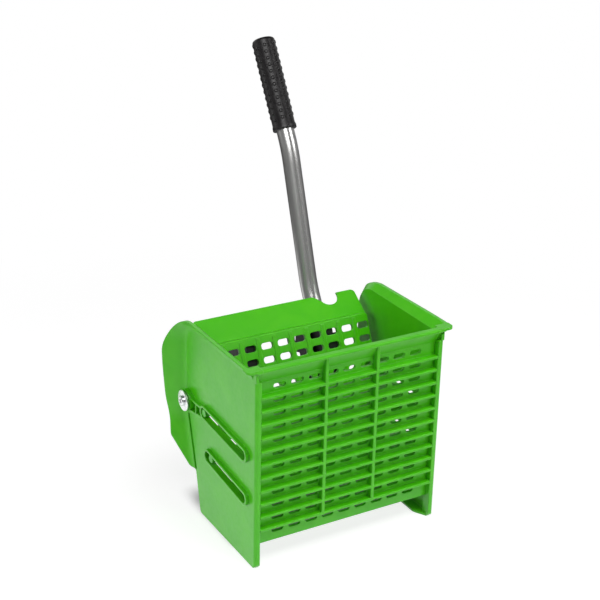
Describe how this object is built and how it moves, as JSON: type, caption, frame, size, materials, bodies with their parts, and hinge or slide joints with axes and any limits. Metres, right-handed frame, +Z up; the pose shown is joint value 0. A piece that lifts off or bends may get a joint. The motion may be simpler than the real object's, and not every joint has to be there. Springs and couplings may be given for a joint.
{
  "type": "mop wringer",
  "caption": "Lever-operated side-press mop wringer: slotted green hopper, perforated press plate driven by a bent tube handle with a rubber grip.",
  "frame": {"origin": "on the floor plane under the middle of the whole part, handle at rest", "axes": "+X across the part to the right seen from the front, +Y to the rear, away from the slotted front, +Z up"},
  "size_m": [0.3202, 0.4114, 0.5818],
  "materials": {
    "green_plastic": "satin",
    "green_sleeve": "satin",
    "white_bush": "satin",
    "black_plastic": "satin",
    "tube_steel": "satin",
    "bright_steel": "bright",
    "grip_rubber": "matte"
  },
  "bodies": {
    "frame": {"front_sieve": "green_plastic", "left_cheek": "green_plastic", "right_cheek": "green_plastic", "axle_bushes": "white_bush"},
    "lever": {"cross_axle": "bright_steel", "pivot_washers": "bright_steel", "pivot_screws": "bright_steel", "left_crank_arm": "black_plastic", "right_crank_arm": "black_plastic", "arm_set_screws": "bright_steel", "crank_pins": "bright_steel", "crank_pin_clips": "bright_steel", "handle_hub": "black_plastic", "hub_screws": "bright_steel", "handle_tube": "tube_steel", "hand_grip": "grip_rubber"},
    "guide": {"upper_guide_rod": "bright_steel", "upper_guide_sleeves": "green_sleeve", "upper_rod_clips": "bright_steel"},
    "press": {"press_plate": "green_plastic", "lower_guide_rod": "bright_steel", "lower_guide_sleeves": "green_sleeve", "lower_rod_clips": "bright_steel", "left_drive_bracket": "black_plastic", "right_drive_bracket": "black_plastic", "bracket_screws": "bright_steel"},
    "roller_left": {"left_cam_roller": "black_plastic"},
    "roller_right": {"right_cam_roller": "black_plastic"}
  },
  "joints": [
    {"name": "lever_turn", "type": "hinge", "parent": "frame", "child": "lever", "pos_m": [0, -0.01742, 0.158], "axis": [1, 0, 0], "range_deg": [0, 75]},
    {"name": "guide_slide", "type": "slide", "parent": "frame", "child": "guide", "axis": [0, -0.9987, -0.0504], "range_m": [0, 0.10383]},
    {"name": "press_tilt", "type": "hinge", "parent": "guide", "child": "press", "pos_m": [0, -0.06692, 0.16073], "axis": [1, 0, 0], "range_deg": [0, 24.6]},
    {"name": "left_roller_spin", "type": "hinge", "parent": "lever", "child": "roller_left", "pos_m": [-0.0615, 0.02507, 0.22342], "axis": [1, 0, 0], "continuous": true},
    {"name": "right_roller_spin", "type": "hinge", "parent": "lever", "child": "roller_right", "pos_m": [0.0615, 0.02507, 0.22342], "axis": [1, 0, 0], "continuous": true}
  ],
  "couplings": [
    {"joint": "guide_slide", "follows": "lever_turn", "m_per_rad": 0.079169},
    {"joint": "press_tilt", "follows": "lever_turn", "ratio": 0.32667}
  ]
}
